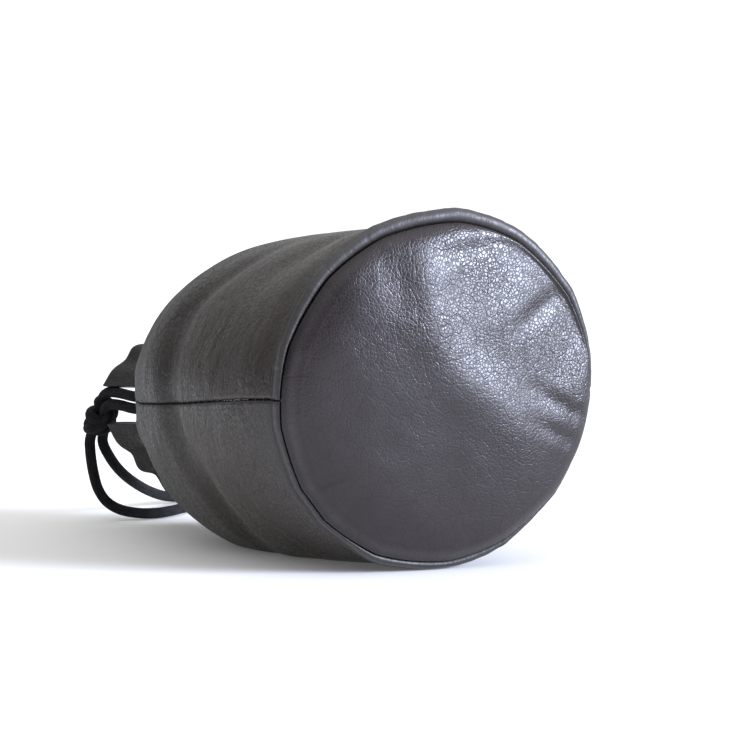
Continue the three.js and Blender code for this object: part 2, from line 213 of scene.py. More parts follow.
# The height of the base seam's middle over the floor, the tunnel, and where the hem's edge lies.
CENTRE_HEIGHT = BASE_RADIUS * 0.985 + BEAD_WIDTH - BEAD_PRESSED
HOLE_RADIUS = CORD_DIAMETER / 2 + CORD_PLAY
TUNNEL_HALF = (HOLE_RADIUS + WALL) / BODY_LENGTH
HEM_EDGE = CINCH - TUNNEL_HALF - HEM_BELOW_TUNNEL / BODY_LENGTH

knot_low, knot_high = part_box("drawstring_knot")
OFFSET = (np.array(knot_low) + np.array(knot_high)) / 2 - (KNOT_TOP + KNOT_BOTTOM) / 2
OFFSET[2] = 0


def smoothstep(x, low, high):
    """0 below low, 1 above high, and 3t^2 - 2t^3 between them."""
    t = np.clip((x - low) / (high - low), 0, 1)
    return t * t * (3 - 2 * t)


def noise(u, v, seed, wrap=None):
    """Smooth random heights from -1 to 1: random numbers at whole u and v, joined by a smooth step.

    wrap is the number of cells after which v repeats, for a pattern that goes round the body.
    """
    lattice = np.random.default_rng(seed).uniform(-1, 1, (211, 211))
    u, v = np.broadcast_arrays(u, v)
    low_u, low_v = np.floor(u).astype(int), np.floor(v).astype(int)
    share_u = smoothstep(u - low_u, 0, 1)
    share_v = smoothstep(v - low_v, 0, 1)

    def corner(step_u, step_v):
        column = low_v + step_v
        if wrap:
            column = column % wrap
        return lattice[(low_u + step_u) % 211, column % 211]

    near = corner(0, 0) * (1 - share_u) + corner(1, 0) * share_u
    far = corner(0, 1) * (1 - share_u) + corner(1, 1) * share_u
    return near * (1 - share_v) + far * share_v


def cubic(u, start, leave, end, arrive):
    """A cubic from start to end as u goes from 0 to 1, that leaves and arrives at the given slopes."""
    return (
        start * (2 * u**3 - 3 * u**2 + 1) + leave * (u**3 - 2 * u**2 + u)
        + end * (3 * u**2 - 2 * u**3) + arrive * (u**3 - u**2)
    )


def column_at(name, along):
    """A smooth curve through one column of SECTIONS: cubics whose slopes come from the neighbours."""
    places = SECTIONS[:, 0]
    values = SECTIONS[:, SECTION_COLUMNS.index(name)]
    before = np.maximum(np.arange(len(places)) - 1, 0)
    after = np.minimum(np.arange(len(places)) + 1, len(places) - 1)
    slopes = (values[after] - values[before]) / (places[after] - places[before])
    row = np.clip(np.searchsorted(places, along, side="left") - 1, 0, len(places) - 2)
    step = places[row + 1] - places[row]
    u = (along - places[row]) / step
    return cubic(u, values[row], step * slopes[row], values[row + 1], step * slopes[row + 1])


def pleat_depth(along, mean):
    """Half a pleat's height: what gathered leather needs to keep its length round a narrower section."""
    spare = np.maximum((GATHERED_RADIUS / mean) ** 2 - 1, 0)
    growing = smoothstep(along, PLEATS_BEGIN, PLEATS_FULL)
    return growing * PLEAT_FULLNESS * mean / PLEAT_COUNT * np.sqrt(2 * spare)


def pleat_wave(place):
    """1 on a pleat's crest and -1 in a valley: minus the cosine of the pleats, shifted by PLEAT_DRIFT."""
    drift = sum(shift * np.sin(waves * place) for waves, shift in PLEAT_DRIFT)
    return -np.cos(PLEAT_COUNT * place + drift)


def dent_depth(along, place):
    """The sum of the DENTS, each a bell curve that falls off over its own length and width."""
    depth = np.zeros(np.broadcast(along, place).shape)
    for at, angle, long, wide, turn, deep in DENTS:
        lengthways = (along - at) * BODY_LENGTH
        turns = place / (2 * math.pi) - angle / 360
        across = (turns - np.round(turns)) * 2 * math.pi * BASE_RADIUS
        cos, sin = math.cos(math.radians(turn)), math.sin(math.radians(turn))
        a = (lengthways * cos + across * sin) / (long * BASE_RADIUS)
        b = (across * cos - lengthways * sin) / (wide * BASE_RADIUS)
        depth = depth + deep * BASE_RADIUS * np.exp(-a * a - b * b)
    return depth


def slit_angle(along, at_tunnel, at_mouth):
    """The slit's half width, which opens from the seam's end to the mouth, as an angle."""
    opening = smoothstep(along, SEAM_END, SLIT_OPEN) * at_tunnel
    flare = smoothstep(along, CINCH, 1) * (at_mouth - at_tunnel)
    return (opening + flare) / (BASE_RADIUS * column_at("width", along))


def angle_of(along, place):
    """Where a place on the leather lies round the section, squeezed between the two slits.

    The seam at -X hangs a few degrees lower than the section's middle, half-way along the body.
    """
    near = slit_angle(along, FAR_SLIT, FAR_NOTCH)
    far = math.pi - slit_angle(along, EXIT_SLIT, EXIT_NOTCH)
    sag = SEAM_SAG * smoothstep(along, 0, 0.45) * (1 - smoothstep(along, 0.58, SEAM_END))
    sag = sag * smoothstep(np.abs(place), math.radians(110), math.pi)
    return np.sign(place) * (near + (far - near) * np.abs(place) / math.pi) + sag


def from_side_seam(place):
    """The way round the leather to the nearer side seam, in metres."""
    return np.minimum(np.abs(place), math.pi - np.abs(place)) * BASE_RADIUS


def relief(along, place, pitch):
    """The leather's own unevenness, in metres outwards.

    Broad and middle-sized noise, thin creases where a third noise crosses zero, streaks that pull
    away from the side seams, and a pucker at each stitch that dies out a few millimetres from them.
    """
    down = along * BODY_LENGTH / MM
    turn = place / (2 * math.pi)
    beside = from_side_seam(place) / MM
    broad = noise(down / 31, turn * 9 + 20, 11, wrap=9) * 1.15
    middle = noise(down / 12, turn * 26 + 52, 12, wrap=26) * 0.3
    warp = noise(down / 25, turn * 14 + 28, 13, wrap=14)
    line = noise(down / 17 + warp, turn * 15 + 30 + 0.6 * warp, 14, wrap=15)
    crease = -0.16 * np.exp(-((line / 0.07) ** 2)) * smoothstep(warp, -0.3, 0.5)
    streaks = noise(down / 3.3, turn * 22 + 44, 15, wrap=22) * 0.13 * np.exp(-beside / 26)
    pull = 0.15 * np.exp(-beside / 2.4) + 0.02 * np.exp(-beside / 8)
    uneven = 0.6 + 0.6 * noise(down / 9, turn * 4 + 8, 16, wrap=4)
    puckers = -pull * uneven * np.cos(2 * math.pi * down * MM / pitch)
    sewn = 1 - smoothstep(along, SEAM_END - 0.04, SEAM_END)
    near_rim = smoothstep(along, 0.015, 0.09)
    return MM * (near_rim * (broad + middle + crease + streaks) + sewn * puckers * (0.4 + 0.6 * near_rim))


def rim_tightness(place):
    """How far the base seam is drawn in by the RIM_CHORDS, in metres."""
    depth = np.zeros(np.shape(place))
    for start, end, share in RIM_CHORDS:
        half = math.radians(end - start) / 2
        off = np.abs(np.mod(place - math.radians(start + end) / 2 + math.pi, 2 * math.pi) - math.pi)
        depth = depth + share * BASE_RADIUS * (1 - math.cos(half) / np.cos(np.minimum(off, half)))
    return depth


def near_angle(angle, middle, width):
    """1 at the middle angle and 0 away from it, a bell curve as wide as width. Both are in degrees."""
    return np.exp(-(((np.degrees(angle) - middle) / width) ** 2))


def skin(along, place, pleats=None, tight=1.0, pitch=4.5 * MM):
    """The leather's outer face and its way outwards, as two arrays of points.

    An oval section round a leaning middle, plus pleats, less dents, plus relief, and less the rim's
    tightness, which fades out behind the seam. The base end leans outwards at the top.
    """
    along, place = np.broadcast_arrays(np.asarray(along, float), np.asarray(place, float))
    lean, lift, width, rise, drop, beak = (
        BASE_RADIUS * column_at(name, along) for name in SECTION_COLUMNS[1:]
    )
    angle = angle_of(along, place)
    from_slit = (180 - np.abs(np.degrees(angle))) / BEAK_REACH
    across = width + beak * np.exp(-from_slit * from_slit)
    up = np.where(np.sin(angle) >= 0, rise, drop)
    mean = (width + (rise + drop) / 2) / 2
    radial = np.stack([across * np.cos(angle), np.zeros_like(angle), up * np.sin(angle)], -1)
    outwards = radial / np.linalg.norm(radial, axis=-1, keepdims=True)
    wave = pleat_wave(place) if pleats is None else pleats
    drawn_flat = np.exp(-((from_slit * BEAK_REACH / FLAT_REACH) ** 2))
    away_from_tunnel = smoothstep(along, CINCH + 0.02, 0.95) + 1 - smoothstep(along, 0.64, 0.82)
    calmed = 1 - drawn_flat * away_from_tunnel * FLATTENED
    stand = pleat_depth(along, mean) * wave * calmed - dent_depth(along, place)
    tucked = near_angle(angle, *TUCK_AT) * smoothstep(along, 0.89, 1)
    stand = stand + relief(along, place, pitch) - FRILL_TUCK * tucked
    stand = stand - tight * rim_tightness(place) * (1 - smoothstep(along, 0, 0.07))
    middle = np.stack([-lean, BODY_LENGTH * along, CENTRE_HEIGHT + lift], -1)
    point = middle + radial + outwards * stand[..., None]
    leaning = math.tan(BASE_LEAN) * np.maximum(1 - 2 * along, 0)
    point[..., 1] -= leaning * (point[..., 2] - CENTRE_HEIGHT)
    return point, outwards


def on_floor(point, height=0.0):
    """Points lower than height are pressed up to it, by the mean of z and a root that rounds the edge."""
    above = point[..., 2] - height
    pressed = (above + np.sqrt(above**2 + FLOOR_SOFTNESS**2)) / 2
    point[..., 2] = height + pressed
    return point


def thickness_reach(point, outwards):
    """One layer of leather measured straight inwards: WALL over how squarely the face looks outwards."""
    lengthways = np.gradient(point, axis=0)
    round_way = np.gradient(point, axis=1)
    normal = np.cross(lengthways, round_way)
    normal /= np.maximum(np.linalg.norm(normal, axis=-1, keepdims=True), 1e-12)
    facing = np.abs((normal * outwards).sum(-1))
    return WALL / np.maximum(facing, LEAST_FACING)


def grid_faces(rows, columns, closed=False, start=0):
    """Four-cornered faces of a grid of points laid row by row, whose last column may join its first."""
    wide = columns if closed else columns - 1
    row, column = np.meshgrid(np.arange(rows - 1), np.arange(wide), indexing="ij")
    after = (column + 1) % columns
    a = row * columns + column
    b = row * columns + after
    return np.stack([a, b, b + columns, a + columns], -1).reshape(-1, 4) + start


def make_piece(name, points, faces, attributes=None):
    """A piece from an array of points and arrays of faces, turned so that its faces point outwards."""
    points = np.asarray(points, float)
    fans = np.concatenate([
        np.stack([group[:, 0], group[:, i], group[:, i + 1]], -1)
        for group in faces for i in range(1, group.shape[1] - 1)
    ])
    a, b, c = (points[fans[:, i]] for i in range(3))
    if (a * np.cross(b, c)).sum() < 0:
        faces = [group[:, ::-1] for group in faces]
    mesh = bpy.data.meshes.new(name)
    mesh.vertices.add(len(points))
    mesh.vertices.foreach_set("co", (points + OFFSET).astype(np.float32).ravel())
    corners = np.concatenate([group.ravel() for group in faces])
    sizes = np.concatenate([np.full(len(group), group.shape[1]) for group in faces])
    mesh.loops.add(len(corners))
    mesh.loops.foreach_set("vertex_index", corners.astype(np.int32))
    mesh.polygons.add(len(sizes))
    mesh.polygons.foreach_set("loop_start", (np.cumsum(sizes) - sizes).astype(np.int32))
    mesh.update(calc_edges=True)
    for key, values in (attributes or {}).items():
        kind = "FLOAT_VECTOR" if values.ndim == 2 else "FLOAT"
        layer = mesh.attributes.new(key, kind, "POINT")
        part = "vector" if values.ndim == 2 else "value"
        layer.data.foreach_set(part, values.astype(np.float32).ravel())
    mesh.shade_smooth()
    piece = bpy.data.objects.new(name, mesh)
    bpy.context.scene.collection.objects.link(piece)
    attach(piece, "root")
    return piece


class Value:
    """A number in a material. Arithmetic on it adds Math nodes."""

    def __init__(self, finish, socket):
        self.finish = finish
        self.socket = socket

    def _math(self, operation, first, second):
        made = self.finish.node("ShaderNodeMath", {"operation": operation}, {0: first, 1: second})
        return Value(self.finish, made.outputs[0])

    def __add__(self, other):
        return self._math("ADD", self, other)

    def __sub__(self, other):
        return self._math("SUBTRACT", self, other)

    def __rsub__(self, other):
        return self._math("SUBTRACT", other, self)

    def __mul__(self, other):
        return self._math("MULTIPLY", self, other)

    __radd__ = __add__
    __rmul__ = __mul__

    def over(self, low, high):
        """0 below low and 1 above high, with a smooth step between."""
        made = self.finish.node(
            "ShaderNodeMapRange", {"interpolation_type": "SMOOTHSTEP"},
            {"Value": self, "From Min": low, "From Max": high},
        )
        return Value(self.finish, made.outputs[0])


class Finish:
    """The nodes of a new material or world while they are made."""

    def __init__(self, owner):
        owner.use_nodes = True
        self.owner = owner
        self.tree = owner.node_tree
        self.tree.nodes.clear()

    def node(self, kind, settings=None, inputs=None):
        """Any node: its settings are set first, then its sockets get values or links."""
        made = self.tree.nodes.new(kind)
        for key, value in (settings or {}).items():
            setattr(made, key, value)
        for key, value in (inputs or {}).items():
            value = value.socket if isinstance(value, Value) else value
            if isinstance(value, bpy.types.NodeSocket):
                self.tree.links.new(value, made.inputs[key])
            else:
                made.inputs[key].default_value = value
        return made

    def vector_math(self, operation, inputs):
        """A Vector Math node's result."""
        return self.node("ShaderNodeVectorMath", {"operation": operation}, inputs).outputs[0]

    def place(self):
        """Where a point is on the piece, in metres."""
        return self.node("ShaderNodeTexCoord").outputs["Object"]

    def attribute(self, name, output="Fac"):
        """One of the mesh's own attributes."""
        return self.node("ShaderNodeAttribute", {"attribute_name": name}).outputs[output]

    def noise(self, vector, size, detail=3.0, roughness=0.5):
        """Noise with blobs about size metres wide."""
        made = self.node(
            "ShaderNodeTexNoise", None,
            {"Vector": vector, "Scale": 1 / size, "Detail": detail, "Roughness": roughness},
        )
        return Value(self, made.outputs["Fac"])

    def cells(self, vector, size, feature="F1"):
        """Distance to the middle, or to the edge, of cells about size metres wide."""
        made = self.node(
            "ShaderNodeTexVoronoi", {"feature": feature}, {"Vector": vector, "Scale": 1 / size},
        )
        return Value(self, made.outputs["Distance"])

    def warped(self, vector, size, amount):
        """The same place moved by up to amount metres, a different way every size metres."""
        made = self.node(
            "ShaderNodeTexNoise", None, {"Vector": vector, "Scale": 1 / size, "Detail": 2.0},
        )
        centred = self.vector_math("SUBTRACT", {0: made.outputs["Color"], 1: (0.5, 0.5, 0.5)})
        scaled = self.vector_math("SCALE", {0: centred, "Scale": 2 * amount})
        return self.vector_math("ADD", {0: vector, 1: scaled})

    def stretched(self, vector, stretch):
        """The same place with each axis times its share of stretch."""
        return self.vector_math("MULTIPLY", {0: vector, 1: stretch})

    def blend(self, share, first, second):
        """The first colour where share is 0 and the second where it is 1."""
        made = self.node("ShaderNodeMix", {"data_type": "RGBA"}, {"Factor": share})
        for socket, colour in ((made.inputs[6], first), (made.inputs[7], second)):
            if isinstance(colour, bpy.types.NodeSocket):
                self.tree.links.new(colour, socket)
            else:
                socket.default_value = (*colour, 1)
        return made.outputs[2]

    def bumped(self, height, depth):
        """The surface's normal with height, from 0 to 1, standing depth metres out of it."""
        inputs = {"Height": height, "Distance": depth, "Strength": 1.0}
        return self.node("ShaderNodeBump", None, inputs).outputs["Normal"]

    def finish(self, **sockets):
        """Joins a Principled shader with these sockets to the output, and gives the material."""
        inputs = {key.replace("_", " "): value for key, value in sockets.items()}
        shader = self.node("ShaderNodeBsdfPrincipled", None, inputs)
        self.node("ShaderNodeOutputMaterial", None, {"Surface": shader.outputs[0]})
        return self.owner


def shaded(colour, share):
    """A colour made darker or lighter."""
    return tuple(channel * share for channel in colour)


def colour_property(name, description, default):
    return FloatVectorProperty(
        name=name, description=description, subtype="COLOR", size=3, min=0, max=1, default=default,
    )


def length_property(name, description, default, least):
    return FloatProperty(
        name=name, description=description, default=default, min=least, unit="LENGTH", precision=5,
    )


class PouchLeather(bpy.types.PropertyGroup):
    """Colours and sizes of the leather's finish and its thread."""

    wall_colour: colour_property("Wall colour", "Colour of the wall's leather", (0.033, 0.025, 0.0215))
    base_colour: colour_property("Base colour", "Colour of the base's leather", (0.0125, 0.0078, 0.0092))
    worn_colour: colour_property("Worn colour", "Colour where edges are rubbed", (0.06, 0.054, 0.054))
    thread_colour: colour_property("Thread colour", "Colour of the sewing thread", (0.012, 0.012, 0.013))
    grain: length_property("Grain", "Width of one pebble of the grain", 1.3 * MM, 0.2 * MM)
    grain_height: length_property("Grain height", "Height of a pebble", 0.2 * MM, 0)
    stitch_pitch: length_property("Stitch pitch", "From one stitch to the next", 4.5 * MM, 1 * MM)
    thread: length_property("Thread", "Thickness of the sewing thread", 0.55 * MM, 0.1 * MM)


class PouchCord(bpy.types.PropertyGroup):
    """Colour and thickness of the drawstring."""

    colour: colour_property("Colour", "Colour of the cord", (0.009, 0.009, 0.010))
    knot_strand: length_property(
        "Strand in the knot", "Thickness of the cord where the knot squeezes it", 4.9 * MM, 1 * MM,
    )


class PouchStage(bpy.types.PropertyGroup):
    """Lights and floor."""

    window: FloatProperty(name="Window", description="Strength of the window's light", default=8.3, min=0)
    sky: FloatProperty(name="Sky", description="Strength of the surroundings' light", default=1.0, min=0)
    floor_colour: colour_property("Floor", "Colour of the floor", (0.86, 0.86, 0.855))


# What the wall's leather and the base's have different: gloss is the shader's specular level, edges how
# much of the pebbles' height is in their edges, dark how much painted shade darkens the creases between
# them, rough the roughness, and uneven how much patches change that.
WALL_LOOK = {"gloss": 0.58, "edges": 0.5, "dark": 0.95, "rough": 0.29, "uneven": 0.3}
BASE_LOOK = {"gloss": 0.5, "edges": 0.32, "dark": 0.8, "rough": 0.31, "uneven": 0.16}

# How much shorter the wall's pebbles, its fine pulls and its ripples are scaled round the body than
# along it, so that they run round it.
PEBBLES_ROUND = (1.0, 0.62, 1.0)
PULLS_ROUND = (1.0, 0.35, 1.0)
RIPPLES_ROUND = (1.0, 0.45, 1.0)


def leather(name, colour, look, props, streaky):
    """Pebbled leather: rounded cells with painted shade in the creases, finer cells in them, broad uneven
    shine.

    Where it is streaky, its pattern follows the sheet and is drawn out round the body, and fine pulls
    and ripples are added to its height.
    """
    made = Finish(bpy.data.materials.new(name))
    laid = made.attribute("laid", "Vector") if streaky else None
    at = made.stretched(laid, PEBBLES_ROUND) if streaky else made.place()
    moved = made.warped(at, 0.003, 0.0006)
    pebbles = made.cells(moved, props.grain)
    edges = made.cells(moved, props.grain, "DISTANCE_TO_EDGE").over(0.0, 0.2)
    small = made.cells(made.warped(at, 0.002, 0.0002), props.grain * 0.5)
    creased = made.warped(at, 0.007, 0.0016)
    creases = made.cells(creased, props.grain * 4.2, "DISTANCE_TO_EDGE").over(0.0, 0.07)
    patches = made.noise(at, 0.024, 4.0)
    fine = made.noise(at, 0.0006, 2.0)
    coarse = Value(made, made.attribute("coarse")) * (0.55 + patches.over(0.25, 0.75) * 0.45)
    dome = 1 - pebbles * pebbles
    height = edges * look["edges"] + dome * 0.1 + (1 - small) * 0.05 + creases * 0.4
    height = height * coarse + fine * 0.02
    if streaky:
        pull = made.noise(made.stretched(laid, PULLS_ROUND), 0.0022, 3.0)
        ripple = made.noise(made.stretched(made.warped(laid, 0.03, 0.008), RIPPLES_ROUND), 0.0075, 2.0)
        height = height + pull.over(0.35, 0.65) * patches * 0.4 + ripple.over(0.3, 0.7) * 1.1
    # far is painted shade: the leather is drawn darker, and rougher, on the bead and towards the neck.
    far = Value(made, made.attribute("far"))
    worn = Value(made, made.attribute("worn"))
    rubbed = (worn * (0.45 + patches * 1.1) + (dome - 0.62) * 0.12).over(0.1, 1.1)
    shade = made.blend(patches.over(0.3, 0.72), shaded(colour, 0.84), shaded(colour, 1.15))
    # Painted shade: the pebbles' creases and the wider creases are drawn darker, more where the grain is
    # coarse.
    darker = (1 - edges) * look["dark"] * coarse + (1 - creases) * 0.3 + far * 0.8
    dark = made.blend(darker, shade, shaded(colour, 0.2))
    surface = made.blend(rubbed * 0.6, dark, tuple(props.worn_colour))
    rough = look["rough"] - (patches - 0.5) * look["uneven"] - worn * 0.05
    rough = rough + (1 - edges) * 0.35 * coarse + far * 0.2
    return made.finish(
        Base_Color=surface, Roughness=rough, Normal=made.bumped(height, props.grain_height),
        Specular_IOR_Level=look["gloss"],
    )


def cord_finish(name, colour):
    """Round black cord: dull, with fine lengthwise wrinkles and short cracks across them."""
    made = Finish(bpy.data.materials.new(name))
    laid = made.attribute("laid", "Vector")
    wrinkles = made.noise(made.stretched(laid, (0.22, 1.0, 1.0)), 0.0011, 3.0)
    cracks = made.noise(made.stretched(laid, (1.0, 0.35, 1.0)), 0.0009, 2.0)
    height = wrinkles * 0.7 + cracks.over(0.35, 0.5) * 0.3
    shade = made.blend(wrinkles.over(0.35, 0.7), shaded(colour, 0.7), shaded(colour, 1.5))
    return made.finish(
        Base_Color=shade, Roughness=0.92 - wrinkles * 0.12, Normal=made.bumped(height, 0.00016),
        Specular_IOR_Level=0.2,
    )


def thread_finish(name, colour):
    """Waxed black thread with its twist."""
    made = Finish(bpy.data.materials.new(name))
    twist = made.noise(made.stretched(made.place(), (1.0, 1.0, 2.2)), 0.0003, 1.0)
    shade = made.blend(twist, shaded(colour, 0.6), shaded(colour, 1.6))
    return made.finish(Base_Color=shade, Roughness=0.6 + twist * 0.1, Normal=made.bumped(twist, 0.00008))


# The bead's profile: part of an ellipse, from its inner side over the bead to the groove behind it.
# BEAD_INSIDE is how far its inner side lies inside the base seam.
BEAD_INSIDE = 0.3 * MM
BEAD_HALF = (BEAD_WIDTH + BEAD_INSIDE) / 2

# How thick the bead looks round the base: degrees from +X over the top, and a share of its width.
BEAD_SIZES = (
    (-180, 0.62), (-150, 0.5), (-125, 0.6), (-108, 0.95), (-90, 1.0), (-70, 0.95), (-45, 0.7),
    (-15, 0.55), (8, 0.7), (30, 1.1), (55, 1.4), (85, 1.52), (115, 1.42), (145, 1.1), (168, 0.75),
    (180, 0.62),
)
BEAD_FROM = math.radians(182)
BEAD_TO = math.radians(425)
BEAD_ROWS = 17
TURNED_ROWS = 3
OUTER_ROWS = 176
FOLD_ROWS = 7
HEM_ROWS = 30
INNER_EVERY = 3
PANEL_COLUMNS = 226
SEAM_CROWDING = 0.6

# How far down the wall its grain is at its coarsest, and where the painted shade that darkens its leather
# towards the neck begins and ends.
COARSE_FROM = 12 * MM
NECK_PAINTED_SHADE = (50 * MM, 125 * MM)


def panel_places(top):
    """Places round a panel from the +X seam to the -X seam, crowded together near both."""
    t = np.linspace(0, 1, PANEL_COLUMNS)
    place = math.pi * (t - SEAM_CROWDING * np.sin(2 * math.pi * t) / (2 * math.pi))
    return (1 if top else -1) * np.maximum(place, 1e-6)


def seam_roll(along, place):
    """How far the leather's edge rolls in towards a side seam or a slit: a quarter circle's depth."""
    roll = SEAM_ROLL + (SLIT_ROLL - SEAM_ROLL) * smoothstep(along, SEAM_END, SLIT_OPEN)
    beside = np.minimum(from_side_seam(place), roll)
    return roll - np.sqrt(np.maximum(roll**2 - (roll - beside) ** 2, 0))


def panel_sheet(top, pitch):
    """Both faces of a panel, as two grids of points with the same rows, and the grid's own attributes.

    The first grid is the face that shows: up from the base seam, over the bead, along the body to
    the mouth, round the fold and down the hem. The second lies one layer behind it. The hem's depth
    below the outer face is two layers, and more at the tunnel, where it goes round the cord.
    """
    place = panel_places(top)[None, :]
    bead_turn = np.linspace(BEAD_FROM, BEAD_TO, BEAD_ROWS)[:, None]
    turned = np.linspace(SEAM_DEPTH, BEAD_DEPTH / 2, TURNED_ROWS, endpoint=False)[:, None]
    wobble = 1 + 0.035 * noise(place * BASE_RADIUS / (4 * MM), np.zeros_like(place), 21)
    wobble = wobble + 0.02 * noise(place * BASE_RADIUS / (1.7 * MM), np.zeros_like(place), 22)
    degrees, sizes = np.array(BEAD_SIZES).T
    size = np.interp(np.degrees(place), degrees, sizes)
    bead_out = BEAD_HALF * (1 + np.cos(bead_turn)) * wobble * size - BEAD_INSIDE
    bead_behind = BEAD_DEPTH / 2 * (1 + np.sin(bead_turn))
    behind = np.concatenate([turned, bead_behind])
    out = np.concatenate([turned * 0 * wobble - BEAD_INSIDE, bead_out])
    seam, seam_out = skin(0, place, pitch=pitch)
    later, later_out = skin(np.maximum(behind, 0) / BODY_LENGTH, place, pitch=pitch)
    turning = smoothstep(bead_turn, math.pi, 1.6 * math.pi)
    facing_base = np.concatenate([np.zeros((TURNED_ROWS, 1)), turning])
    roll = seam_roll(0, place) * facing_base
    straight = seam + np.stack([behind * 0, behind, behind * 0], -1) + seam_out * (out - roll)[..., None]
    follow = later + later_out * (out - roll)[..., None]
    share = smoothstep(behind, BEAD_DEPTH * 0.6, BEAD_DEPTH)[..., None] * facing_base[..., None]
    bead = straight * (1 - share) + follow * share
    bead_back_out = -WALL * smoothstep(np.arange(len(behind))[:, None], TURNED_ROWS, len(behind) - 1)
    bead_back_behind = SEAM_DEPTH + 0.4 * MM + 1.0 * MM * np.linspace(0, 1, len(behind))[:, None]
    bead_back = seam + seam_out * (bead_back_out - roll)[..., None]
    bead_back[..., 1] += bead_back_behind

    start = bead_behind[-1, 0] / BODY_LENGTH
    along = np.linspace(start, 1, OUTER_ROWS + 1)[1:, None]
    outer, outwards = skin(along, place, pitch=pitch)
    reach = thickness_reach(outer, outwards)
    tail = bead_out[-1:] + GROOVE_DEEP
    down = along * BODY_LENGTH
    past_bead = np.clip((down - start * BODY_LENGTH) / (GROOVE_AT - start * BODY_LENGTH), 0, 1)
    groove = tail * (1 - past_bead) ** 2 * (1 + past_bead * 0.5)
    groove = groove - GROOVE_DEEP * (1 - smoothstep(down, GROOVE_AT, GROOVE_END))
    valley_deep = VALLEY_DEEP * (0.25 + 0.75 * smoothstep(np.sin(place), -0.1, 0.5))
    groove = groove - valley_deep * np.exp(-(((down - VALLEY_AT) / VALLEY_LONG) ** 2)) * past_bead
    edge = seam_roll(along, place)
    outer_face = outer + outwards * (groove - edge)[..., None]
    inner_face = outer - outwards * (reach + edge)[..., None]

    hem_along = np.linspace(1, HEM_EDGE, HEM_ROWS)[:, None]
    hem, hem_outwards = skin(hem_along, place, pitch=pitch)
    hem_reach = thickness_reach(hem, hem_outwards)
    at_cinch, cinch_outwards = skin(CINCH, place, pitch=pitch)
    valley = skin(CINCH, place, pleats=-1.0, pitch=pitch)[0]
    to_valley = ((at_cinch - valley) * cinch_outwards).sum(-1)
    fold = HOLE_RADIUS + WALL + INNER_PLEAT * (1 + pleat_wave(place)) / 2
    tunnel_depth = to_valley + WALL + HOLE_RADIUS + fold
    from_tunnel = np.abs(hem_along - CINCH) / (TUNNEL_HALF * 1.9)
    bulge = 0.5 + 0.5 * np.cos(math.pi * np.clip(from_tunnel, 0, 1))
    flat_depth = 2 * hem_reach + 0.15 * MM
    hem_depth = flat_depth + bulge * np.maximum(tunnel_depth - flat_depth, 0)
    hem_face = hem - hem_outwards * hem_depth[..., None]
    hem_back = hem - hem_outwards * (hem_depth - hem_reach)[..., None]

    mouth, mouth_outwards = outer_face[-1:], outwards[-1:]
    turn = np.linspace(0, math.pi, FOLD_ROWS + 2)[1:-1, None]
    fold_depth = hem_depth[:1] - edge[-1:]
    fold_face = mouth - mouth_outwards * (fold_depth / 2 * (1 - np.cos(turn)))[..., None]
    fold_face[..., 1] += fold_depth / 2 * np.sin(turn)
    crease_depth = reach[-1:] + (hem_depth[:1] - hem_reach[:1] - reach[-1:]) * (1 - np.cos(turn)) / 2
    fold_back = outer[-1:] - mouth_outwards * (crease_depth + edge[-1:])[..., None]

    face = np.concatenate([bead, outer_face, fold_face, hem_face])
    back = np.concatenate([bead_back, inner_face, fold_back, hem_back])
    face = on_floor(face)
    back = on_floor(back, WALL)
    for grid in (face, back):
        from_seam = smoothstep(grid[..., 2], WALL, CENTRE_HEIGHT / 2)
        grid[..., 2] += (1 if top else -1) * SEAM_PARTED * from_seam / 2
    rows_along = np.concatenate([behind / BODY_LENGTH, along, 1 + turn * 0, hem_along])
    laid = np.stack(np.broadcast_arrays(rows_along * BODY_LENGTH, place * BASE_RADIUS, 0.0), -1)
    worn = np.zeros(face.shape[:2])
    ridge = np.exp(-(((bead_turn - math.radians(330)) / 0.7) ** 2))
    worn[TURNED_ROWS:len(behind)] = ridge
    worn[len(behind) + OUTER_ROWS:len(behind) + OUTER_ROWS + FOLD_ROWS] = 1
    worn = np.maximum(worn, 0.6 * np.exp(-from_side_seam(place) / (1.5 * MM)) * (rows_along > 0.03))
    return face, back, laid, worn


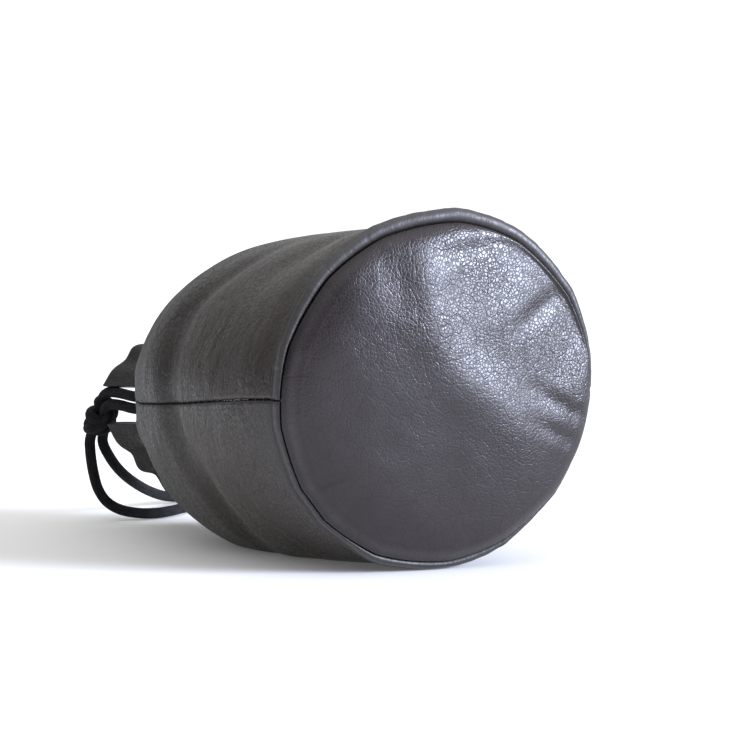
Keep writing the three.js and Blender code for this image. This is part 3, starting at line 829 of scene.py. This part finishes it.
def make_panel(name, top, pitch):
    """Joins a panel's two faces: the back keeps every third row, and lids close the rim and the sides."""
    face, back, laid, worn = panel_sheet(top, pitch)
    rows, columns = face.shape[:2]
    kept = np.unique(np.append(np.arange(0, rows, INNER_EVERY), rows - 1))
    back = back[kept]
    first_back = rows * columns
    front_faces = grid_faces(rows, columns)
    back_faces = grid_faces(len(kept), columns, start=first_back)[:, ::-1]
    at = np.arange(columns - 1)
    low = np.stack([at + 1, at, first_back + at, first_back + at + 1], -1)
    last, last_back = (rows - 1) * columns, first_back + (len(kept) - 1) * columns
    high = np.stack([last + at, last + at + 1, last_back + at + 1, last_back + at], -1)
    sides = []
    for column, flip in ((0, False), (columns - 1, True)):
        for i in range(len(kept) - 1):
            edge = [r * columns + column for r in range(kept[i], kept[i + 1] + 1)]
            behind = [first_back + (i + 1) * columns + column, first_back + i * columns + column]
            ring = edge + behind
            sides.append(np.array([ring[::-1] if flip else ring]))
    points = np.concatenate([face.reshape(-1, 3), back.reshape(-1, 3)])
    laid = np.concatenate([laid.reshape(-1, 3), laid[kept].reshape(-1, 3)])
    down = laid[:, 0]
    # far below is painted shade, darker and rougher on the bead and towards the neck.
    on_bead = 1 - smoothstep(down, BEAD_DEPTH * 0.8, GROOVE_AT)
    attributes = {
        "laid": laid,
        "worn": np.concatenate([worn.ravel(), np.zeros(back.shape[0] * columns)]),
        "coarse": 0.3 + 0.4 * smoothstep(down, BEAD_DEPTH * 0.9, COARSE_FROM),
        "far": np.maximum(smoothstep(down, *NECK_PAINTED_SHADE), 0.9 * on_bead),
    }
    return make_piece(name, points, [front_faces, back_faces, low, high, *sides], attributes)


BASE_COLUMNS = 560
BASE_RINGS = 84
BEND_RINGS = 16
BEND_FROM = 0.9

# How round the dome's edge is: the dome is a flat bowl plus a plate whose edge is this power's curve.
EDGE_POWER = 7

# The slack leather falls back in one slope beyond a ridge: the way from the middle to the ridge in
# degrees from +X, how far off the ridge is, how far the slope falls in a metre, and the ridge's rounding.
SLOPE_TOWARDS = math.radians(39.0)
RIDGE_AT = 9 * MM
SLOPE_FALL = 0.185
RIDGE_ROUNDING = 1.1 * MM

# Where the base's leather goes from its edge into the seam: out from the seam's radius and behind the
# seam's face, in millimetres.
INTO_SEAM = ((0.3, 0.0), (-0.02, 0.6), (-0.3, 1.2), (-0.55, 2.0), (-0.6, 3.2), (-0.6, 5.0))
EDGE_OUT = 0.4 * MM

# How far the base's leather hangs over the bead, and the middle and the width in degrees of where.
OVERHANG = 1.5 * MM
OVERHANG_AT = (-14, 36)


def base_relief(x, z, share, turn):
    """The base leather's unevenness, in metres outwards, at x and z in shares of the base radius.

    BASE_FOLDS as bell curves, broad and middle-sized noise, and small puckers at the seam that die
    out towards the middle.
    """
    height = np.zeros(x.shape)
    for at_x, at_z, long, wide, angle, deep in BASE_FOLDS:
        cos, sin = math.cos(math.radians(angle)), math.sin(math.radians(angle))
        a = ((x - at_x) * cos + (z - at_z) * sin) / long
        b = ((z - at_z) * cos - (x - at_x) * sin) / wide
        height = height - deep * BASE_RADIUS * np.exp(-a * a - b * b)
    broad = noise(x * 2.1 + 7, z * 2.1 + 7, 31) * 0.55 + noise(x * 4.6 + 9, z * 4.6 + 9, 32) * 0.22
    middle = noise(x * 10 + 30, z * 10 + 30, 33) * 0.07
    from_seam = (1 - share) * BASE_RADIUS / MM
    round_way = turn / (2 * math.pi)
    puckers = noise(from_seam / 9, round_way * 62 + 62, 34, wrap=62) * 0.2 * np.exp(-from_seam / 6)
    longer = noise(from_seam / 16, round_way * 34 + 34, 35, wrap=34) * 0.22 * np.exp(-from_seam / 13)
    edge = smoothstep(1 - share, 0, 0.05)
    return height + MM * ((broad + middle) * (0.3 + 0.7 * edge) + (puckers + longer) * edge)


def base_sheet(turn):
    """The base leather as rings from the middle of its outer face, over its round edge into the seam,
    and back along its inner face. Each ring is the base seam drawn in to a share of its size."""

    def dome(share, plate):
        return -(BASE_DOME - BASE_PUFF) * (1 - share**2) - BASE_PUFF * plate

    rings = np.linspace(0, BEND_FROM, BASE_RINGS + 1)[1:-1]
    bend = np.linspace(math.acos(BEND_FROM ** (EDGE_POWER / 2)), 0.12, BEND_RINGS)
    share = np.concatenate([rings, np.cos(bend) ** (2 / EDGE_POWER)])
    plate = np.concatenate([np.sqrt(1 - rings**EDGE_POWER), np.sin(bend)])
    shown = len(share)
    bulge = np.concatenate([rings * 0, np.sin(2 * bend)])[:, None]
    settled = np.concatenate([smoothstep(rings, 0.7, 1.5), np.cos(bend) ** 0.5])[:, None]
    overhang = near_angle(turn, *OVERHANG_AT)[None]
    wide = EDGE_OUT * settled + (OVERHANG * bulge + 0.4 * EDGE_OUT * bulge) * overhang
    into = np.array(INTO_SEAM) * MM
    inner = np.linspace(0.955, 0, 24)[:-1]
    shares = np.concatenate([share, np.ones(len(into)), inner])[:, None]
    inner_plate = np.sqrt(1 - (inner / 0.97) ** EDGE_POWER)
    plates = np.concatenate([plate, into[:, 0] * 0, inner_plate])[:, None]
    rest = np.concatenate([plate * 0, into[:, 1], inner * 0 + BASE_LEATHER])[:, None]
    out = np.concatenate([wide, np.broadcast_to(into[:, :1], (len(into), len(turn)))])
    out = np.concatenate([out, np.zeros((len(inner), len(turn)))])

    middle = np.array([0, 0, CENTRE_HEIGHT])
    round_seam, outwards = skin(0, turn, tight=0.0)
    tight_seam = skin(0, turn, tight=1.0)[0] - middle
    round_seam = round_seam - middle
    mixed = smoothstep(shares, 0.72, 0.97)[..., None]
    seam = round_seam[None] * (1 - mixed) + tight_seam[None] * mixed
    point = middle + seam * shares[..., None] + outwards[None] * out[..., None]
    x = seam[..., 0] * shares / BASE_RADIUS
    z = seam[..., 2] * shares / BASE_RADIUS
    beyond = (x * math.cos(SLOPE_TOWARDS) + z * math.sin(SLOPE_TOWARDS)) * BASE_RADIUS - RIDGE_AT
    round_dome = -dome(shares, plates)
    slope = BASE_DOME - SLOPE_FALL * beyond
    lower = (round_dome + slope - np.sqrt((round_dome - slope) ** 2 + RIDGE_ROUNDING**2)) / 2
    settled = smoothstep(shares, 0.97, 1.0)
    point[..., 1] += rest - (lower * (1 - settled) + round_dome * settled)
    depth_fade = 1 - smoothstep(shares, 0.93, 1.0)
    point[..., 1] -= base_relief(x, z, shares, turn[None]) * depth_fade
    return on_floor(point), shown


def make_base():
    """The base as rings of points, closed by a point in the middle of each face."""
    turn = np.linspace(-math.pi, math.pi, BASE_COLUMNS, endpoint=False) + 1e-6
    point, shown = base_sheet(turn)
    rows, columns = point.shape[:2]
    outer_middle = point[0].mean(0)
    inner_middle = point[-1].mean(0)
    points = np.concatenate([point.reshape(-1, 3), [outer_middle, inner_middle]])
    at = np.arange(columns)
    after = (at + 1) % columns
    last = (rows - 1) * columns
    cap = np.stack([np.full(columns, rows * columns), after, at], -1)
    back_cap = np.stack([np.full(columns, rows * columns + 1), last + at, last + after], -1)
    worn = np.zeros((rows, columns))
    worn[shown - BEND_RINGS:shown - 3] = 0.45 * np.sin(np.linspace(0, math.pi, BEND_RINGS - 3))[:, None]
    x = point[..., 0] / BASE_RADIUS
    z = (point[..., 2] - CENTRE_HEIGHT) / BASE_RADIUS
    # Coarser grain towards the top right, with deeper bumps and more painted shade in its creases there.
    towards_top_right = x * 0.75 + z * 0.65 + 0.2 * noise(x * 3 + 9, z * 3 + 9, 36)
    coarse = 0.38 + 0.44 * smoothstep(towards_top_right, -0.5, 0.6)
    attributes = {
        "worn": np.append(worn.ravel(), [0, 0]),
        "coarse": np.append(coarse.ravel(), [0.6, 0.6]),
        "far": np.zeros(len(points)),
    }
    quads = grid_faces(rows, columns, closed=True)
    return make_piece("base_leather", points, [quads, cap, back_cap], attributes)


def smooth_line(points, step):
    """Evenly spaced points on a smooth curve through the given ones.

    Each stretch is a cubic whose end slopes come from the neighbours, timed by the square root of
    their distances, which keeps the curve from swinging out at close points.
    """
    points = np.asarray(points, float)
    ends = np.vstack([2 * points[0] - points[1], points, 2 * points[-1] - points[-2]])
    gaps = np.linalg.norm(np.diff(ends, axis=0), axis=1) ** 0.5
    u = np.linspace(0, 1, 24, endpoint=False)[:, None]
    stretches = []
    for i in range(len(points) - 1):
        p, q, r, s = ends[i:i + 4]
        a, b, c = gaps[i:i + 3]
        leave = ((q - p) / a - (r - p) / (a + b) + (r - q) / b) * b
        arrive = ((r - q) / b - (s - q) / (b + c) + (s - r) / c) * b
        stretches.append(cubic(u, q, leave, r, arrive))
    line = np.vstack([*stretches, points[-1:]])
    run = np.append(0, np.cumsum(np.linalg.norm(np.diff(line, axis=0), axis=1)))
    even = np.linspace(0, run[-1], max(2, round(run[-1] / step)) + 1)
    return np.stack([np.interp(even, run, line[:, i]) for i in range(3)], -1)


def carried_frames(line):
    """Two sideways directions at each point of a line, turned along it without twisting."""
    ahead = np.gradient(line, axis=0)
    ahead /= np.linalg.norm(ahead, axis=1, keepdims=True)
    side = np.cross(ahead[0], [0.31, 0.52, 0.79])
    sides = [side / np.linalg.norm(side)]
    for direction in ahead[1:]:
        side = sides[-1] - direction * sides[-1].dot(direction)
        sides.append(side / np.linalg.norm(side))
    sides = np.array(sides)
    return sides, np.cross(ahead, sides)


def tube(line, radius, sides=18):
    """A round bar along a line, as points, faces and its own laid coordinates, with flat ends."""
    side, up = carried_frames(line)
    turn = np.linspace(0, 2 * math.pi, sides, endpoint=False)[None, :, None]
    radius = np.broadcast_to(radius, (len(line), sides))
    ring = side[:, None] * np.cos(turn) + up[:, None] * np.sin(turn)
    body = line[:, None] + ring * radius[..., None]
    points = np.concatenate([body.reshape(-1, 3), line[:1], line[-1:]])
    run = np.append(0, np.cumsum(np.linalg.norm(np.diff(line, axis=0), axis=1)))
    round_way = np.linspace(0, 2 * math.pi, sides, endpoint=False) * radius.mean()
    laid = np.stack(np.broadcast_arrays(run[:, None], round_way[None], 0.0), -1).reshape(-1, 3)
    laid = np.concatenate([laid, laid[:1], laid[-1:]])
    at = np.arange(sides)
    after = (at + 1) % sides
    last = (len(line) - 1) * sides
    start = np.stack([np.full(sides, len(points) - 2), after, at], -1)
    end = np.stack([np.full(sides, len(points) - 1), last + at, last + after], -1)
    return points, [grid_faces(len(line), sides, closed=True), start, end], laid


def joined(shapes):
    """Several shapes' points, faces and laid coordinates as one."""
    points, faces, laid, first = [], [], [], 0
    for shape_points, shape_faces, shape_laid in shapes:
        faces.extend(group + first for group in shape_faces)
        points.append(shape_points)
        laid.append(shape_laid)
        first += len(shape_points)
    return np.concatenate(points), faces, np.concatenate(laid)


def tunnel_middle(place):
    """The middle of the cord's tunnel, one layer and the cord's play inside the pleats' valleys."""
    point, outwards = skin(CINCH, place, pleats=-1.0)
    point = point - outwards * (WALL + HOLE_RADIUS)
    point[..., 2] += np.sign(place) * SEAM_GAP / 2
    return point


def uneven_radius(line, sides, seed):
    """The cord's radius at each point, one or two hundredths more or less."""
    run = np.arange(len(line))[:, None] / 6
    return CORD_DIAMETER / 2 * (1 + 0.014 * noise(run, np.arange(sides)[None] / 4, seed))


def held_line():
    """The cord in the tunnel, from the slit over the top and back to it from below."""
    turns = PLEAT_COUNT * 3 - 1
    place = math.pi * (1 - 2 * np.arange(turns + 1) / turns)
    return tunnel_middle(place)


def free_line():
    """The cord outside: from the front of the slit through the knot, round the loop and back."""
    held = held_line()
    front = np.array(FRONT_LEAD) * MM
    back = np.array(BACK_LEAD) * MM
    loop = np.array(LOOP) * MM
    return smooth_line(np.vstack([held[:1], front, loop, back[::-1], held[-1:]]), 1.6 * MM)


# The knot's strands round its middle, which runs from KNOT_TOP to KNOT_BOTTOM, each as from, to, start,
# turns, out and bend: where it starts and ends lengthways in millimetres, its start in degrees, the
# turns it makes, how far out it lies in millimetres, and how far it is bent out half-way.
KNOT_STRANDS = (
    (-8.4, 1.4, 200, 1.45, 3.3, 1.3),
    (-2.6, 7.2, 215, 1.35, 3.3, 1.2),
    (-8.6, 7.4, 40, 0.42, 4.0, 1.5),
)
KNOT_CORE = 1.3


def knot_line(low, high, start, turns, out, bend):
    """A strand of the knot: a helix whose ends go in to KNOT_CORE millimetres from the knot's middle."""
    t = np.linspace(0, 1, 60)
    axis = (KNOT_BOTTOM - KNOT_TOP) / np.linalg.norm(KNOT_BOTTOM - KNOT_TOP)
    side = np.cross(axis, [0, 0, 1.0])
    side /= np.linalg.norm(side)
    up = np.cross(axis, side)
    angle = math.radians(start) + 2 * math.pi * turns * t
    inside = np.minimum(smoothstep(t, 0, 0.16), smoothstep(1 - t, 0, 0.16))
    radius = (KNOT_CORE + (out - KNOT_CORE) * inside + bend * np.sin(math.pi * t)) * MM
    lengthways = (low + (high - low) * t) * MM
    middle = (KNOT_TOP + KNOT_BOTTOM) / 2
    return (
        middle + axis * lengthways[:, None]
        + (side * np.cos(angle)[:, None] + up * np.sin(angle)[:, None]) * radius[:, None]
    )


def make_knot(strand):
    """The knot as three strands of the cord round each other."""
    shapes = [tube(knot_line(*row), strand / 2, 16) for row in KNOT_STRANDS]
    points, faces, laid = joined(shapes)
    return make_piece("overhand_knot", points, faces, {"laid": laid})


# How far below and above the cord's tunnel its two rows of stitches run.
STITCHED_BELOW = 1.6 * MM
STITCHED_ABOVE = 1.2 * MM


def stitch_shapes(starts, ends, outwards, thread, arch):
    """Short threads, each an arch from a start point to an end point that stands out by arch."""
    steps = 7
    t = np.linspace(0, 1, steps)[None, :, None]
    line = starts[:, None] * (1 - t) + ends[:, None] * t
    line = line + outwards[:, None] * arch * np.sin(math.pi * t)
    ahead = np.gradient(line, axis=1)
    ahead /= np.linalg.norm(ahead, axis=-1, keepdims=True)
    side = np.cross(ahead, outwards[:, None])
    side /= np.linalg.norm(side, axis=-1, keepdims=True)
    up = np.cross(side, ahead)
    sides = 6
    turn = (np.arange(sides) * 2 * math.pi / sides)[None, None, :, None]
    full = np.sqrt(np.sin(math.pi * np.clip(t, 0.03, 0.97)))[..., None]
    ring = side[:, :, None] * np.cos(turn) + up[:, :, None] * np.sin(turn)
    body = line[:, :, None] + ring * full * thread / 2
    count = len(starts)
    per_stitch = steps * sides
    faces = grid_faces(steps, sides, closed=True)
    all_faces = (faces[None] + (np.arange(count) * per_stitch)[:, None, None]).reshape(-1, 4)
    lids = np.arange(sides)
    first = (lids[::-1][None] + (np.arange(count) * per_stitch)[:, None])
    last = (lids[None] + ((steps - 1) * sides + np.arange(count) * per_stitch)[:, None])
    points = body.reshape(-1, 3)
    return points, [all_faces, first, last], np.zeros((len(points), 3))


def make_stitches(pitch, thread):
    """The seams' threads: across each side seam and the base seam, and along the hem's two lines."""
    shapes = []
    along = np.arange(pitch / BODY_LENGTH * 2.5, SEAM_END - 0.005, pitch / BODY_LENGTH)
    for place in (1e-6, math.pi):
        point, outwards = skin(along, np.full(len(along), place))
        sunk = point - outwards * SEAM_ROLL * 0.62
        across = np.array([0, 0, SEAM_ROLL * 0.55])
        shapes.append(stitch_shapes(sunk - across, sunk + across, outwards, thread, 0.12 * MM))
    count = round(2 * math.pi * BASE_RADIUS / pitch)
    turn = -math.pi + 2 * math.pi * (np.arange(count) + 0.5) / count
    seam, outwards = skin(0, turn)
    seam = on_floor(seam + outwards * 0.1 * MM)
    seam[:, 1] += 1.4 * MM
    reach = outwards * 0.55 * MM
    ahead = np.tile([0.0, -1.0, 0.0], (count, 1))
    shapes.append(stitch_shapes(seam - reach, seam + reach, ahead, thread, 0.1 * MM))
    below = CINCH - TUNNEL_HALF - STITCHED_BELOW / BODY_LENGTH
    above = CINCH + TUNNEL_HALF + STITCHED_ABOVE / BODY_LENGTH
    for line in (below, above):
        for side in (1, -1):
            place = side * np.linspace(0.06, math.pi - 0.09, 62)
            half = 0.3 * (place[1] - place[0])
            start, outwards = skin(np.full(len(place), line), place - half)
            end = skin(np.full(len(place), line), place + half)[0]
            moved = np.array([0, 0, side * SEAM_GAP / 2]) - outwards * 0.02 * MM
            shapes.append(stitch_shapes(start + moved, end + moved, outwards, thread, 0.22 * MM))
    points, faces, laid = joined(shapes)
    return make_piece("seam_stitches", points, faces, {"laid": laid})


def dress(piece, finish):
    """Gives a piece its finish."""
    piece.data.materials.append(finish)


class POUCH_OT_stage(bpy.types.Operator):
    """Makes the camera, the floor, the surroundings and the lights"""

    bl_idname = "pouch.stage"
    bl_label = "Stage"

    def execute(self, context):
        props = context.scene.pouch_stage
        make_camera(context)
        make_floor(props)
        make_lights(context, props)
        return {"FINISHED"}


class POUCH_OT_cord(bpy.types.Operator):
    """Makes the drawstring: the stretch in the tunnel, the free cord and its knot"""

    bl_idname = "pouch.cord"
    bl_label = "Drawstring"

    def execute(self, context):
        props = context.scene.pouch_cord
        finish = cord_finish("black cord", tuple(props.colour))
        held = smooth_line(held_line(), 2.2 * MM)
        points, faces, laid = tube(held, uneven_radius(held, 18, 41))
        ring = make_piece("held_cord", points, faces, {"laid": laid})
        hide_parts("drawstring_ring")
        knot = make_knot(props.knot_strand)
        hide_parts("drawstring_knot")
        line = free_line()
        points, faces, laid = tube(line, uneven_radius(line, 18, 42))
        free = make_piece("free_cord", points, faces, {"laid": laid})
        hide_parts("drawstring_lead_front", "drawstring_lead_back", "drawstring_loop")
        for piece in (ring, knot, free):
            dress(piece, finish)
        return {"FINISHED"}


class POUCH_OT_wall(bpy.types.Operator):
    """Makes the wall's two panels, with their bead, hem and tunnel"""

    bl_idname = "pouch.wall"
    bl_label = "Wall panels"

    def execute(self, context):
        props = context.scene.pouch_leather
        finish = leather("wall leather", tuple(props.wall_colour), WALL_LOOK, props, streaky=True)
        for name, top, node in (
            ("upper_wall_leather", True, "front_panel"), ("lower_wall_leather", False, "back_panel"),
        ):
            piece = make_panel(name, top, props.stitch_pitch)
            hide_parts(node)
            dress(piece, finish)
        return {"FINISHED"}


class POUCH_OT_base(bpy.types.Operator):
    """Makes the round base"""

    bl_idname = "pouch.base"
    bl_label = "Base"

    def execute(self, context):
        props = context.scene.pouch_leather
        finish = leather("base leather", tuple(props.base_colour), BASE_LOOK, props, streaky=False)
        piece = make_base()
        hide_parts("base_panel")
        dress(piece, finish)
        return {"FINISHED"}


class POUCH_OT_stitches(bpy.types.Operator):
    """Makes the sewing thread in the seams and along the hem"""

    bl_idname = "pouch.stitches"
    bl_label = "Stitches"

    def execute(self, context):
        props = context.scene.pouch_leather
        piece = make_stitches(props.stitch_pitch, props.thread)
        dress(piece, thread_finish("black thread", tuple(props.thread_colour)))
        return {"FINISHED"}


class VIEW3D_PT_pouch(bpy.types.Panel):
    """Lists the pouch's pieces and their sizes and colours"""

    bl_idname = "VIEW3D_PT_pouch"
    bl_label = "Drawstring pouch"
    bl_space_type = "VIEW_3D"
    bl_region_type = "UI"
    bl_category = "Pouch"

    def draw(self, context):
        for group in (context.scene.pouch_leather, context.scene.pouch_cord, context.scene.pouch_stage):
            box = self.layout.box()
            for key in group.bl_rna.properties.keys():
                if key not in ("rna_type", "name"):
                    box.prop(group, key)
        for operator in OPERATORS:
            self.layout.operator(operator.bl_idname)


# The camera, in metres and degrees: where it stands from the middle of the base seam, which way it
# looks, and its lens for a sensor 36 mm wide.
CAMERA_AT = np.array([-0.4704, -0.9121, 0.1413])
CAMERA_AZIMUTH = -26.0
CAMERA_DOWN = 3.82
CAMERA_LENS = 134.4


def make_camera(context):
    """A long lens, level with the top of the pouch and turned a little down."""
    data = bpy.data.cameras.new("camera")
    data.lens = CAMERA_LENS
    data.sensor_width = 36
    data.clip_end = 50
    camera = bpy.data.objects.new("camera", data)
    context.scene.collection.objects.link(camera)
    camera.location = CAMERA_AT + OFFSET
    camera.rotation_euler = (math.radians(90 - CAMERA_DOWN), 0, math.radians(CAMERA_AZIMUTH))
    context.scene.camera = camera


FLOOR_HALF = 6.0
# The floor's faint glow is painted light: it lifts the floor's shadow and lights the pouch's underside.
FLOOR_GLOW = 0.08


def make_floor(props):
    """A wide plain floor just under the pouch, with a faint glow of painted light."""
    made = Finish(bpy.data.materials.new("floor"))
    speckle = made.noise(made.place(), 0.4, 2.0)
    colour = made.blend(speckle, shaded(props.floor_colour, 0.99), tuple(props.floor_colour))
    material = made.finish(
        Base_Color=colour, Roughness=0.9, Emission_Color=(1, 1, 1, 1), Emission_Strength=FLOOR_GLOW,
    )
    mesh = bpy.data.meshes.new("floor")
    half = FLOOR_HALF
    corners = [(-half, -half, 0), (half, -half, 0), (half, half, 0), (-half, half, 0)]
    mesh.from_pydata(corners, [], [(0, 1, 2, 3)])
    mesh.materials.append(material)
    floor = bpy.data.objects.new("floor", mesh)
    bpy.context.scene.collection.objects.link(floor)


# The window's light comes from the right in front: its azimuth from -Y towards +X and its height above
# the floor in degrees, how wide it looks, and its colour.
WINDOW_AZIMUTH = 44.0
WINDOW_HEIGHT = 16.0
WINDOW_WIDTH = 24.0
WINDOW_COLOUR = (0.74, 0.8, 1.0)


def make_lights(context, props):
    """A white backdrop, soft surroundings that are brighter above and behind, and a window's light."""
    around = Finish(bpy.data.worlds.new("surroundings"))
    towards = around.node("ShaderNodeTexCoord").outputs["Generated"]
    split = around.node("ShaderNodeSeparateXYZ", None, {0: towards})
    right, back, up = (Value(around, split.outputs[axis]) for axis in range(3))
    backdrop = back.over(0.45, 1.0) * (1 - up.over(0.1, 0.6))
    light = props.sky * (0.14 + up.over(0.0, 1.0) * 0.98 + backdrop * 0.5 + right * 0.15)
    seen = Value(around, around.node("ShaderNodeLightPath").outputs["Is Camera Ray"])
    strength = light * (1 - seen) + seen * 1.1
    background = around.node("ShaderNodeBackground", None, {"Color": (1, 1, 1, 1), "Strength": strength})
    around.node("ShaderNodeOutputWorld", None, {"Surface": background.outputs[0]})
    context.scene.world = around.owner

    data = bpy.data.lights.new("window", "SUN")
    data.energy = props.window
    data.angle = math.radians(WINDOW_WIDTH)
    data.color = WINDOW_COLOUR
    lamp = bpy.data.objects.new("window", data)
    context.scene.collection.objects.link(lamp)
    azimuth, height = math.radians(WINDOW_AZIMUTH), math.radians(WINDOW_HEIGHT)
    towards_window = Vector((
        math.cos(height) * math.sin(azimuth), -math.cos(height) * math.cos(azimuth), math.sin(height),
    ))
    lamp.location = towards_window
    lamp.rotation_mode = "QUATERNION"
    lamp.rotation_quaternion = (-towards_window).to_track_quat("-Z", "Y")
    context.scene.view_settings.view_transform = "Standard"


OPERATORS = (POUCH_OT_stage, POUCH_OT_cord, POUCH_OT_wall, POUCH_OT_base, POUCH_OT_stitches)
GROUPS = {"pouch_leather": PouchLeather, "pouch_cord": PouchCord, "pouch_stage": PouchStage}


def register():
    for kind in (*GROUPS.values(), *OPERATORS, VIEW3D_PT_pouch):
        bpy.utils.register_class(kind)
    for name, group in GROUPS.items():
        setattr(bpy.types.Scene, name, PointerProperty(type=group))


def unregister():
    for name in GROUPS:
        delattr(bpy.types.Scene, name)
    for kind in (VIEW3D_PT_pouch, *reversed(OPERATORS), *reversed(GROUPS.values())):
        bpy.utils.unregister_class(kind)


def main():
    register()
    bpy.ops.pouch.stage()
    bpy.ops.pouch.cord()
    bpy.ops.pouch.wall()
    bpy.ops.pouch.base()
    bpy.ops.pouch.stitches()


if __name__ == "__main__":
    main()
